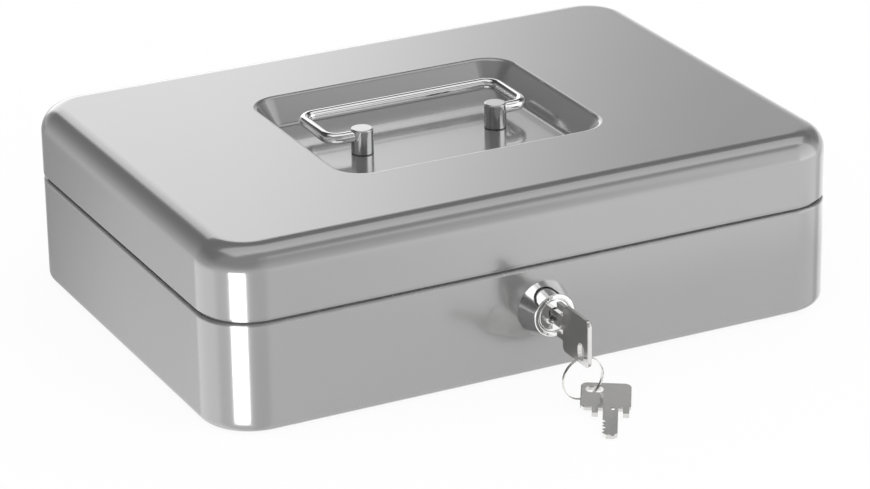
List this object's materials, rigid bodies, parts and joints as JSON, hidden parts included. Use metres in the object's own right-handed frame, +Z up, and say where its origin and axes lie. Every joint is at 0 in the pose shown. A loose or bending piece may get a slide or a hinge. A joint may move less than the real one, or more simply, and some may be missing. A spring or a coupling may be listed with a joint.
{
  "type": "cash box",
  "caption": "Sheet-steel cash box with a hinged lid, a bail handle lying in a pressed recess, a front cam lock with its key and spare key, and a lift-out coin tray inside.",
  "frame": {"origin": "middle of the case's flat underside", "axes": "+X along the length to the right as seen from the front, +Y from the front with the lock to the hinged rear, +Z up"},
  "size_m": [0.3, 0.2934, 0.0822],
  "materials": {
    "case_lacquer": "grey gloss lacquer on sheet steel",
    "bright_chrome": "polished chrome plate",
    "key_nickel": "satin nickel plate",
    "zinc_steel": "bright zinc plate",
    "wafer_brass": "stamped brass",
    "tray_plastic": "black moulded plastic with a fine grain"
  },
  "bodies": {
    "base": {"base_shell": "case_lacquer", "hinge_base_leaf_left": "case_lacquer", "hinge_base_leaf_right": "case_lacquer", "hinge_pin_left": "zinc_steel", "hinge_pin_right": "zinc_steel", "lock_housing": "bright_chrome", "lock_washer": "zinc_steel", "lock_nut": "zinc_steel"},
    "lid": {"lid_shell": "case_lacquer", "hinge_lid_leaf_left": "case_lacquer", "hinge_lid_leaf_right": "case_lacquer", "strike_plate": "zinc_steel", "handle_post_left": "bright_chrome", "handle_post_right": "bright_chrome", "post_washers": "zinc_steel", "post_screws": "zinc_steel"},
    "handle": {"handle_bail": "bright_chrome"},
    "lock_core": {"lock_plug": "bright_chrome", "lock_wafers": "wafer_brass", "lock_cam": "zinc_steel", "cam_screw": "zinc_steel"},
    "lock_key": {"key": "key_nickel"},
    "ring": {"key_ring": "key_nickel"},
    "second_key": {"spare_key": "key_nickel"},
    "tray": {"coin_tray": "tray_plastic"}
  },
  "joints": [
    {"name": "lid_hinge", "type": "hinge", "parent": "base", "child": "lid", "pos_m": [0, 0.1102, 0.05065], "axis": [-1, 0, 0], "range_deg": [0, 100]},
    {"name": "handle_swing", "type": "hinge", "parent": "lid", "child": "handle", "pos_m": [0, -0.0005, 0.079], "axis": [1, 0, 0], "range_deg": [-9, 189]},
    {"name": "lock_turn", "type": "hinge", "parent": "base", "child": "lock_core", "pos_m": [0, -0.1, 0.03], "axis": [0, 1, 0], "range_deg": [0, 90]},
    {"name": "key_slide", "type": "slide", "parent": "lock_core", "child": "lock_key", "axis": [0, -1, 0], "range_m": [-0.003, 0.018]},
    {"name": "ring_swing", "type": "hinge", "parent": "lock_key", "child": "ring", "pos_m": [0, -0.142, 0.02005], "axis": [-1, 0, 0], "range_deg": [0, 60]},
    {"name": "second_key_swing", "type": "hinge", "parent": "ring", "child": "second_key", "pos_m": [0, -0.142, 0.00145], "axis": [-1, 0, 0], "range_deg": [0, 20]},
    {"name": "tray_lift", "type": "slide", "parent": "base", "child": "tray", "axis": [0, 0, 1], "range_m": [0, 0.006]}
  ]
}
